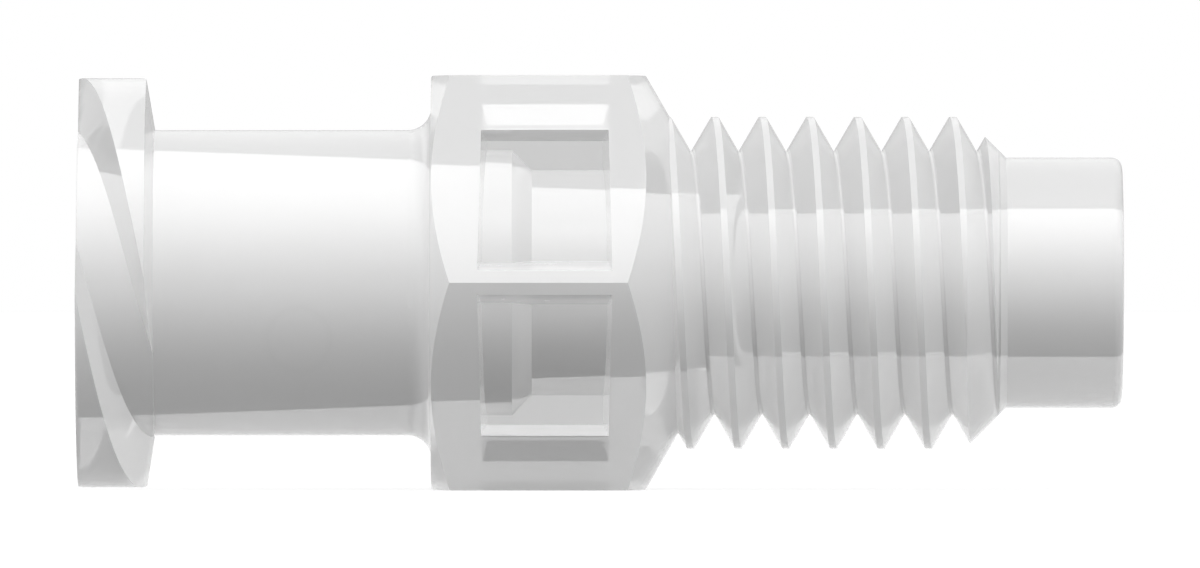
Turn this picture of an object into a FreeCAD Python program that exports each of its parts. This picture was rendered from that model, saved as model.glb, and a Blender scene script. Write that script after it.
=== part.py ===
import FreeCAD, Part
import math
import os

# Luer fitting, moulded in one piece. Sizes are in millimetres.
# The axis runs along X: the luer mouth is at x = 0 and the nose's tip is at the far end.
# One flat of the hexagon faces down, and the pockets open towards -Y and +Y.
ORIGIN = FreeCAD.Vector(0, 0, 0)
AXIS = FreeCAD.Vector(1, 0, 0)
OVERSHOOT = 1.0  # how far a trimming solid runs past the surface that it trims
SUNK = 0.1  # how far a piece reaches into the piece that it is joined to
FOOT_SUNK = 0.012  # how far a ridge's foot reaches under the root
NEAR = 0.0001

# Luer socket, a cone for a male luer tip
MOUTH_D = 4.29
SOCKET_TAPER = 0.06  # loss of diameter for each millimetre of depth
SOCKET_DEPTH = 8.26

# Passage behind the socket: a 45 degree throat, a core pin's hole and the flow bore
PASSAGE_D = 3.04
PASSAGE_END_D = 2.82
PASSAGE_END = 12.02
FLOW_D = 2.35

# Collar at the luer mouth, with two ridges that a male luer's lock ring screws over
COLLAR_D = 7.80
COLLAR_ROOT_D = 5.90
COLLAR_LENGTH = 1.30
COLLAR_BACK = 0.15  # length of the cone behind the ridges
RIDGES = 2
RIDGE_LEAD = 5.0
RIDGE_CREST = 1.14
RIDGE_FLANK = 15.0  # degrees from square to the axis
RIDGE_AT_TOP = 0.64  # place along the axis of one ridge's middle, above the axis

# Barrel between the collar and the hexagon
BARREL_D = 5.82
BARREL_FILLET = 0.45

# Hexagon for a 5/16 inch wrench, with a cone at each end
HEX_FLATS = 7.88
HEX_START = 6.72
HEX_LENGTH = 4.09  # up to where the cone behind it meets the flats
HEX_FACE_D = 7.83  # round face that the cone leaves towards the barrel
HEX_CONE = 30.0  # degrees from square to the axis

# Pockets cored into the hexagon from the front and the back, up to a web on the mid-plane
POCKET_START = 7.79
POCKET_LENGTH = 2.20
POCKET_TOP = 2.70  # height above the axis, at the web
POCKET_RIB = 1.10  # thickness at the web of the rib between an upper and a lower pocket
POCKET_DRAFT = 4.5  # degrees, of the walls above and below
POCKET_END_DRAFT = 2.5  # degrees, of the walls square to the axis
POCKET_WALL = 0.65  # wall that a pocket leaves round the passage
WEB = 0.7

# Bare field sunk in the top and the bottom flat
FIELD_LENGTH = 2.44
FIELD_WIDTH = 3.6
FIELD_DEPTH = 0.23

# Thread, 1/4-28 UNF
THREAD_D = 6.325
THREAD_ROOT_D = 5.03
THREAD_PITCH = 25.4 / 28
THREAD_CREST = 0.128
THREAD_FLANK = 30.0  # degrees from square to the axis
THREAD_AT_TOP = 12.12  # place along the axis of one crest, above the axis

# Nose in front of the thread
NOSE_D = 4.77
NOSE_LENGTH = 2.21
NOSE_EDGE = 0.2
LENGTH = 19.88


def tangent(degrees):
    return math.tan(math.radians(degrees))


def turned(outline):
    """A solid turned about the axis from a closed outline of (x, r) points."""
    corners = [FreeCAD.Vector(x, 0, r) for x, r in outline]
    return Part.Face(Part.makePolygon(corners + corners[:1])).revolve(ORIGIN, AXIS, 360)


def cylinder(start, end, diameter):
    return Part.makeCylinder(diameter / 2, end - start, FreeCAD.Vector(start, 0, 0), AXIS)


def rim(solid, x, diameter):
    """The round edges of this diameter that lie square to the axis at x."""
    found = []
    for edge in solid.Edges:
        curve = edge.Curve
        if isinstance(curve, Part.Circle) and abs(curve.Center.x - x) < NEAR:
            if abs(curve.Radius * 2 - diameter) < NEAR:
                found.append(edge)
    return found


def ridge(start, end, lead, at_top, root_d, crest_d, crest_width, flank):
    """A ridge of trapezoid section, wound right-handed round the axis, with its foot sunk under the root.
    Its middle runs from x = start to x = end, and lies above the axis at x = at_top."""
    foot_r = root_d / 2 - FOOT_SUNK
    crest_half = crest_width / 2
    foot_half = crest_half + (crest_d / 2 - foot_r) * tangent(flank)
    section = [(-foot_half, foot_r), (-crest_half, crest_d / 2), (crest_half, crest_d / 2), (foot_half, foot_r)]
    corners = [FreeCAD.Vector(r, 0, x) for x, r in section]
    helix = Part.makeHelix(lead, end - start, root_d / 2)
    solid = Part.Wire(helix).makePipeShell([Part.makePolygon(corners + corners[:1])], True, True)
    # The helix winds about Z and starts at +X. This turn lays Z along the axis and stands X up.
    solid.rotate(ORIGIN, FreeCAD.Vector(1, 0, 1), 180)
    solid.rotate(ORIGIN, AXIS, 360 * (start - at_top) / lead)
    solid.translate(FreeCAD.Vector(start, 0, 0))
    return solid


def ridged(start, end, ridges, lead, at_top, root_d, crest_d, crest_width, flank):
    """A root cylinder that carries evenly spaced ridges and runs on past them at both ends."""
    pitch = lead / ridges
    solid = cylinder(start - OVERSHOOT, end + OVERSHOOT, root_d)
    for i in range(ridges):
        solid = solid.fuse(ridge(start, end, lead, at_top + i * pitch, root_d, crest_d, crest_width, flank))
    return solid


def luer_collar():
    """The collar's root and its ridges, cut square at the mouth and by a cone at the back."""
    crest_r = COLLAR_D / 2
    root_r = COLLAR_ROOT_D / 2
    inner_r = BARREL_D / 2 - SUNK
    outer_r = crest_r + SUNK
    lean = COLLAR_BACK / (crest_r - root_r)
    back = COLLAR_LENGTH + (crest_r - inner_r) * lean
    collar = ridged(
        -RIDGE_LEAD / 2,
        back + RIDGE_LEAD / 2,
        RIDGES,
        RIDGE_LEAD,
        RIDGE_AT_TOP,
        COLLAR_ROOT_D,
        COLLAR_D,
        RIDGE_CREST,
        RIDGE_FLANK,
    )
    envelope = turned(
        [(0, 0), (0, outer_r), (COLLAR_LENGTH - (outer_r - crest_r) * lean, outer_r), (back, inner_r), (back, 0)]
    )
    return collar.common(envelope)


def threaded_shank():
    """The thread, which starts inside the hexagon and ends in a 45 degree cone down to the nose."""
    inner_r = NOSE_D / 2 - SUNK
    outer_r = THREAD_D / 2 + SUNK
    start = HEX_START + HEX_LENGTH - SUNK
    nose_start = LENGTH - NOSE_LENGTH
    end = nose_start + SUNK
    shank = ridged(
        start - THREAD_PITCH,
        end + THREAD_PITCH,
        1,
        THREAD_PITCH,
        THREAD_AT_TOP,
        THREAD_ROOT_D,
        THREAD_D,
        THREAD_CREST,
        THREAD_FLANK,
    )
    envelope = turned(
        [(start, 0), (start, outer_r), (nose_start + NOSE_D / 2 - outer_r, outer_r), (end, inner_r), (end, 0)]
    )
    return shank.common(envelope)


def hexagon():
    """A hexagonal block with two of its six corner edges on the horizontal mid-plane, at front and back.
    A short cone cuts its corners beside the barrel, and a long one runs down to the thread's root."""
    face_r = HEX_FACE_D / 2
    root_r = THREAD_ROOT_D / 2
    corner_r = HEX_FLATS / math.sqrt(3)
    slope = tangent(HEX_CONE)
    cone_end = HEX_START + HEX_LENGTH + (HEX_FLATS / 2 - root_r) * slope
    corners = []
    for i in range(6):
        turn = math.radians(60 * i)
        corners.append(FreeCAD.Vector(HEX_START, corner_r * math.cos(turn), corner_r * math.sin(turn)))
    prism = Part.Face(Part.makePolygon(corners + corners[:1])).extrude(
        FreeCAD.Vector(cone_end + OVERSHOOT - HEX_START, 0, 0)
    )
    outer_r = corner_r + SUNK
    envelope = turned(
        [
            (HEX_START, 0),
            (HEX_START, face_r),
            (HEX_START + (outer_r - face_r) * slope, outer_r),
            (cone_end - (outer_r - root_r) * slope, outer_r),
            (cone_end + SUNK * slope, root_r - SUNK),
            (cone_end + SUNK * slope, 0),
        ]
    )
    return prism.common(envelope)


def stem():
    """The barrel, its fillet against the hexagon, and the nose, with the hexagon between them."""
    barrel = cylinder(SUNK, HEX_START + SUNK, BARREL_D)
    nose = cylinder(HEX_START + HEX_LENGTH, LENGTH, NOSE_D)
    nose = nose.makeFillet(NOSE_EDGE, rim(nose, LENGTH, NOSE_D))
    block = hexagon().fuse(barrel)
    block = block.makeFillet(BARREL_FILLET, rim(block, HEX_START, BARREL_D))
    return block.fuse(nose)


def passage():
    """The socket, its throat, the core pin's hole and the flow bore, from the mouth to the tip."""
    socket_r = (MOUTH_D - SOCKET_TAPER * SOCKET_DEPTH) / 2
    before_r = (MOUTH_D + SOCKET_TAPER * OVERSHOOT) / 2
    return turned(
        [
            (-OVERSHOOT, 0),
            (-OVERSHOOT, before_r),
            (SOCKET_DEPTH, socket_r),
            (SOCKET_DEPTH + socket_r - PASSAGE_D / 2, PASSAGE_D / 2),
            (PASSAGE_END, PASSAGE_END_D / 2),
            (PASSAGE_END, FLOW_D / 2),
            (LENGTH + OVERSHOOT, FLOW_D / 2),
            (LENGTH + OVERSHOOT, 0),
        ]
    )


def rectangle(x_low, x_high, y, z_low, z_high):
    corners = [
        FreeCAD.Vector(x_low, y, z_low),
        FreeCAD.Vector(x_high, y, z_low),
        FreeCAD.Vector(x_high, y, z_high),
        FreeCAD.Vector(x_low, y, z_high),
    ]
    return Part.makePolygon(corners + corners[:1])


def pockets():
    """Two pockets from the front and two from the back. Each opens outwards with draft, from the web on the
    mid-plane, and its floor follows the passage."""
    outer = HEX_FLATS / math.sqrt(3) + OVERSHOOT
    grown = (outer - WEB / 2) * tangent(POCKET_DRAFT)
    lengthened = (outer - WEB / 2) * tangent(POCKET_END_DRAFT)
    end = POCKET_START + POCKET_LENGTH
    cores = []
    for side in (-1, 1):
        for up in (-1, 1):
            at_web = rectangle(POCKET_START, end, side * WEB / 2, up * POCKET_RIB / 2, up * POCKET_TOP)
            outside = rectangle(
                POCKET_START - lengthened,
                end + lengthened,
                side * outer,
                up * (POCKET_RIB / 2 - grown),
                up * (POCKET_TOP + grown),
            )
            cores.append(Part.makeLoft([at_web, outside], True, True))
    socket_r = (MOUTH_D - SOCKET_TAPER * SOCKET_DEPTH) / 2 + POCKET_WALL
    passage_r = PASSAGE_D / 2 + POCKET_WALL
    floor = turned(
        [
            (POCKET_START - OVERSHOOT, 0),
            (POCKET_START - OVERSHOOT, socket_r),
            (SOCKET_DEPTH, socket_r),
            (SOCKET_DEPTH + socket_r - passage_r, passage_r),
            (end + OVERSHOOT, passage_r),
            (end + OVERSHOOT, 0),
        ]
    )
    return [core.cut(floor) for core in cores]


def fields():
    """The bare fields in the top and the bottom flat, over the pockets."""
    start = POCKET_START + (POCKET_LENGTH - FIELD_LENGTH) / 2
    depth = FIELD_DEPTH + OVERSHOOT
    low_corners = [HEX_FLATS / 2 - FIELD_DEPTH, -HEX_FLATS / 2 - OVERSHOOT]
    return [
        Part.makeBox(FIELD_LENGTH, FIELD_WIDTH, depth, FreeCAD.Vector(start, -FIELD_WIDTH / 2, z))
        for z in low_corners
    ]


def luer_fitting():
    body = stem().fuse([luer_collar(), threaded_shank()])
    body = body.cut(pockets() + fields())
    return body.cut(passage())


os.makedirs("parts", exist_ok=True)
solid = luer_fitting()
solid.exportStep("parts/luer_fitting.step")
print("volume in cubic millimetres:", round(solid.Volume, 3))
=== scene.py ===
import math

import bmesh
import bpy
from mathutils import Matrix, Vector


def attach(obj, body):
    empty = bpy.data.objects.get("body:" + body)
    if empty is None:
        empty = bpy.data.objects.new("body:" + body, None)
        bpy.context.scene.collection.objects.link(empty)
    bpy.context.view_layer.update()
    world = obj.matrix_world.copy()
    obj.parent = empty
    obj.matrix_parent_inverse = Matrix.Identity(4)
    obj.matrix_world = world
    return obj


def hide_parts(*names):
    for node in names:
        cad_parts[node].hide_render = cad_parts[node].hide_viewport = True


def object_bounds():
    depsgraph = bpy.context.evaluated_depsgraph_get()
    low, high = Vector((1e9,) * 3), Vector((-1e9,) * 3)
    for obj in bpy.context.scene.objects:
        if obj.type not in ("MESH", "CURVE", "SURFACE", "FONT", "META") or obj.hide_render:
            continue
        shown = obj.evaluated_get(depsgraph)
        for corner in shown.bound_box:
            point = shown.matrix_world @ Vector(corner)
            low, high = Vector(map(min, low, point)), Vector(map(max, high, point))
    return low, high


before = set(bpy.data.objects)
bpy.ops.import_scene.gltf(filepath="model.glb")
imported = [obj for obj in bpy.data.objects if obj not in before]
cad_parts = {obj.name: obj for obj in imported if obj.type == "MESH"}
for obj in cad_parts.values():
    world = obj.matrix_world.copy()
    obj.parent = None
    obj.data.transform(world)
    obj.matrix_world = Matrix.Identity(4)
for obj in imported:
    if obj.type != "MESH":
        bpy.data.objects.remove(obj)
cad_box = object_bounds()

MM = 0.001  # the scene is in metres, and the sizes below are in millimetres
WHITE = (1, 1, 1, 1)

# Natural polypropylene: uncoloured, cloudy, a little see-through, and glossy from a polished mould
PLASTIC_GREY = 0.9
PLASTIC_CLOUDS = 0.02  # how much the grey wanders
CLOUD_SIZE = 2.5
CLOUD_DETAIL = 2
GLOSS_ROUGHNESS = 0.1
GLOSS_WANDER = 0.06
SEE_THROUGH = 0.32
BEND = 1.2  # index of refraction, kept low because light crosses only thin walls
COAT = 0.25
COAT_ROUGHNESS = 0.25
LIGHT_PASSED = 0.96  # share of scattered light and shadow rays that a face lets by
SKIN_SIZE = 0.35  # the mould skin's faint waves
SKIN_DETAIL = 1
SKIN_DEPTH = 0.0015
MERGE_DISTANCE = 0.0005  # corners this close are one corner
SHARP_ANGLE = 28  # degrees at which two faces meet in a sharp edge

# Gate mark, a faint ring on the barrel's front, below the middle
GATE_X = 4.22
GATE_Z = -1.09
GATE_D = 1.2
GATE_LINE = 0.12  # how far the ring's line fades to each side
GATE_DARKER = 0.015
GATE_DEPTH = 0.002

# Thread roots: their radius, the height of the round that shading gives them, and where they start
ROOT_R = 2.515
ROOT_ROUND = 0.05
ROOT_SLACK = 0.0875  # how far below the root a point still counts, short of the nose's surface
THREAD_START = 10.9

# Studio: lights as (degrees up from the camera's side, strength, tightness), each a strip along the axis
LIGHTS = ((62, 2.12, 8), (150, 0.8, 8))
ROOM_LIGHT = 0.26
FLOOR_GREY = 0.3  # as the light that it throws back sees it
FLOOR_SEEN_GREY = 0.7
FLOOR_GLOW = 0.24  # what the lit grey lacks to white
FLOOR_REACH = 3000.0  # from its middle to each side

# View: the photo's frame, its scale, and where the mouth and the axis lie in it
IMAGE_WIDTH = 1200
IMAGE_HEIGHT = 568
MM_PER_PIXEL = 0.019058
MOUTH_X_PIXEL = 78.7
AXIS_Y_PIXEL = 282.8
CAMERA_DISTANCE = 500.0  # near enough that views from other sides stay in the camera's reach
CLIP_NEAR = 100.0
CLIP_FAR = 10000.0
SENSOR_WIDTH = 36


class Socket:
    """A shader value that takes part in Python sums."""

    def __init__(self, nodes, link):
        self.nodes = nodes
        self.link = link

    def output(self, name):
        """Another output of the node that this value comes from."""
        return Socket(self.nodes, self.link.node.outputs[name])

    def math(self, operation, first, second):
        return self.nodes.add("ShaderNodeMath", {"operation": operation}, {0: first, 1: second})

    def __add__(self, other):
        return self.math("ADD", self, other)

    def __radd__(self, other):
        return self.math("ADD", other, self)

    def __sub__(self, other):
        return self.math("SUBTRACT", self, other)

    def __rsub__(self, other):
        return self.math("SUBTRACT", other, self)

    def __mul__(self, other):
        return self.math("MULTIPLY", self, other)

    def __rmul__(self, other):
        return self.math("MULTIPLY", other, self)

    def __truediv__(self, other):
        return self.math("DIVIDE", self, other)

    def __pow__(self, other):
        return self.math("POWER", self, other)

    def __abs__(self):
        return self.math("ABSOLUTE", self, 0)

    def at_least(self, other):
        return self.math("MAXIMUM", self, other)

    def less_than(self, other):
        return self.math("LESS_THAN", self, other)

    def more_than(self, other):
        return self.math("GREATER_THAN", self, other)


class Nodes:
    """The node tree of a material or of the world."""

    def __init__(self, owner):
        owner.use_nodes = True
        self.tree = owner.node_tree
        self.tree.nodes.clear()

    def add(self, kind, settings, inputs, output=0):
        """A new node, with its settings and then the values or links of its inputs."""
        node = self.tree.nodes.new(kind)
        for name, value in settings.items():
            setattr(node, name, value)
        for name, value in inputs.items():
            if isinstance(value, Socket):
                self.tree.links.new(value.link, node.inputs[name])
            else:
                node.inputs[name].default_value = value
        return Socket(self, node.outputs[output]) if node.outputs else None

    def vector(self, operation, first, second=(0, 0, 0), output="Vector"):
        inputs = {0: first, 1: second}
        return self.add("ShaderNodeVectorMath", {"operation": operation}, inputs, output)

    def place(self):
        """The point of the surface, in the part's own frame."""
        return self.add("ShaderNodeTexCoord", {}, {}, "Object")

    def millimetres(self, place):
        """The x, y and z of a point, in millimetres."""
        x = self.add("ShaderNodeSeparateXYZ", {}, {0: place})
        return x / MM, x.output("Y") / MM, x.output("Z") / MM

    def noise(self, place, size, detail):
        """A soft noise around zero, whose lumps are about this many millimetres wide."""
        inputs = {"Vector": place, "Scale": 1 / (size * MM), "Detail": detail}
        return self.add("ShaderNodeTexNoise", {}, inputs) - 0.5

    def grey(self, value):
        return self.add("ShaderNodeCombineColor", {}, {0: value, 1: value, 2: value})

    def rays(self):
        return self.add("ShaderNodeLightPath", {}, {})

    def mix(self, share, first, second):
        """The first shader where the share is 0, and the second where it is 1."""
        return self.add("ShaderNodeMixShader", {}, {0: share, 1: first, 2: second})


def gate_ring(nodes, place):
    """1 on the ring of the gate mark and 0 away from it, with soft edges."""
    x, y, z = nodes.millimetres(place)
    across = x - GATE_X
    up = z - GATE_Z
    radius = (across * across + up * up) ** 0.5
    ring = (1 - abs(radius - GATE_D / 2) / GATE_LINE).at_least(0)
    return ring * y.less_than(0)


def thread_root(nodes, place):
    """Height in millimetres that fills the thread's roots, so that their flanks meet in a round."""
    x, y, z = nodes.millimetres(place)
    above_root = (y * y + z * z) ** 0.5 - ROOT_R
    on_thread = above_root.more_than(-ROOT_SLACK) * x.more_than(THREAD_START)
    return (1 - above_root.at_least(0) / ROOT_ROUND).at_least(0) ** 2 * ROOT_ROUND * on_thread


def natural_plastic():
    """Outer faces scatter and bend light, and faces seen from inside are plain white. Scattered light and
    shadow rays pass through the walls, as light does in this thin, cloudy plastic."""
    material = bpy.data.materials.new("natural_plastic")
    nodes = Nodes(material)
    place = nodes.place()
    clouds = nodes.noise(place, CLOUD_SIZE, CLOUD_DETAIL)
    skin = nodes.noise(place, SKIN_SIZE, SKIN_DETAIL)
    ring = gate_ring(nodes, place)
    grey = PLASTIC_GREY + clouds * PLASTIC_CLOUDS - ring * GATE_DARKER
    height = skin * SKIN_DEPTH - ring * GATE_DEPTH + thread_root(nodes, place)
    surface = nodes.add(
        "ShaderNodeBsdfPrincipled",
        {},
        {
            "Base Color": nodes.grey(grey),
            "Roughness": GLOSS_ROUGHNESS + clouds * GLOSS_WANDER,
            "IOR": BEND,
            "Transmission Weight": SEE_THROUGH,
            "Coat Weight": COAT,
            "Coat Roughness": COAT_ROUGHNESS,
            "Normal": nodes.add("ShaderNodeBump", {}, {"Distance": MM, "Height": height}),
        },
    )
    inner = nodes.add("ShaderNodeBsdfDiffuse", {}, {"Color": WHITE})
    tint = (LIGHT_PASSED, LIGHT_PASSED, LIGHT_PASSED, 1)
    clear = nodes.add("ShaderNodeBsdfTransparent", {}, {"Color": tint})
    inside = nodes.add("ShaderNodeNewGeometry", {}, {}, "Backfacing")
    wall = nodes.mix(inside, surface, inner)
    rays = nodes.rays()
    for kind in ("Is Diffuse Ray", "Is Shadow Ray"):
        wall = nodes.mix(rays.output(kind), wall, clear)
    nodes.add("ShaderNodeOutputMaterial", {}, {"Surface": wall})
    return material


def new_piece(name, form, material):
    """An object made of this form, with its place in its mesh."""
    mesh = bpy.data.meshes.new(name)
    form.to_mesh(mesh)
    form.free()
    mesh.materials.append(material)
    piece = bpy.data.objects.new(name, mesh)
    bpy.context.collection.objects.link(piece)
    return piece


def fitting():
    """The moulded body: smooth curves that meet in sharp edges."""
    form = bmesh.new()
    form.from_mesh(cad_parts["luer_fitting"].data)
    bmesh.ops.remove_doubles(form, verts=form.verts, dist=MERGE_DISTANCE * MM)
    for face in form.faces:
        face.smooth = True
    for edge in form.edges:
        edge.smooth = edge.calc_face_angle() < math.radians(SHARP_ANGLE)
    piece = new_piece("fitting_body", form, natural_plastic())
    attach(piece, "root")
    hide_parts("luer_fitting")


def seen_directly(rays, *others):
    """1 for what the camera sees, straight or by the given rays, and 0 for what lights a surface."""
    seen = rays.output("Is Camera Ray")
    for name in others:
        seen = seen + rays.output(name)
    return seen * rays.output("Diffuse Depth").less_than(1)


def floor_paint():
    """White to the eye, and a pale grey to the light that it throws back."""
    material = bpy.data.materials.new("floor_paint")
    nodes = Nodes(material)
    seen = seen_directly(nodes.rays(), "Is Glossy Ray", "Is Transmission Ray")
    grey = nodes.grey(FLOOR_GREY + seen * (FLOOR_SEEN_GREY - FLOOR_GREY))
    paint = nodes.add("ShaderNodeBsdfDiffuse", {}, {"Color": grey})
    glow = nodes.add("ShaderNodeEmission", {}, {"Color": WHITE, "Strength": seen * FLOOR_GLOW})
    surface = nodes.add("ShaderNodeAddShader", {}, {0: paint, 1: glow})
    nodes.add("ShaderNodeOutputMaterial", {}, {"Surface": surface})
    return material


def floor():
    """The table that the fitting lies on."""
    form = bmesh.new()
    bmesh.ops.create_grid(form, x_segments=1, y_segments=1, size=FLOOR_REACH * MM)
    bmesh.ops.translate(form, verts=form.verts, vec=(0, 0, cad_box[0][2]))
    new_piece("floor", form, floor_paint())


def studio_light():
    """A white room whose lights are long strips along the fitting."""
    world = bpy.data.worlds.new("studio")
    bpy.context.scene.world = world
    nodes = Nodes(world)
    direction = nodes.add("ShaderNodeTexCoord", {}, {})
    across = nodes.vector("MULTIPLY", direction, (0, 1, 1))
    across = nodes.vector("NORMALIZE", across)
    light = ROOM_LIGHT
    for degrees, strength, tightness in LIGHTS:
        angle = math.radians(degrees)
        toward = (0, -math.cos(angle), math.sin(angle))
        facing = nodes.vector("DOT_PRODUCT", across, toward, "Value")
        light = light + strength * facing.at_least(0) ** tightness
    seen = seen_directly(nodes.rays(), "Is Transmission Ray")
    level = seen + (1 - seen) * light
    background = nodes.add("ShaderNodeBackground", {}, {"Color": WHITE, "Strength": level})
    nodes.add("ShaderNodeOutputWorld", {}, {"Surface": background})


def camera():
    """Square to the axis, and far enough off that the view has little perspective."""
    data = bpy.data.cameras.new("camera")
    data.sensor_width = SENSOR_WIDTH
    data.lens = SENSOR_WIDTH * CAMERA_DISTANCE / (IMAGE_WIDTH * MM_PER_PIXEL)
    data.clip_start = CLIP_NEAR * MM
    data.clip_end = CLIP_FAR * MM
    item = bpy.data.objects.new("camera", data)
    x = (IMAGE_WIDTH / 2 - MOUTH_X_PIXEL) * MM_PER_PIXEL
    z = (AXIS_Y_PIXEL - IMAGE_HEIGHT / 2) * MM_PER_PIXEL
    item.location = (x * MM, -CAMERA_DISTANCE * MM, z * MM)
    item.rotation_euler = (math.radians(90), 0, 0)
    bpy.context.collection.objects.link(item)
    bpy.context.scene.camera = item


bpy.context.scene.view_settings.view_transform = "Standard"
fitting()
floor()
studio_light()
camera()
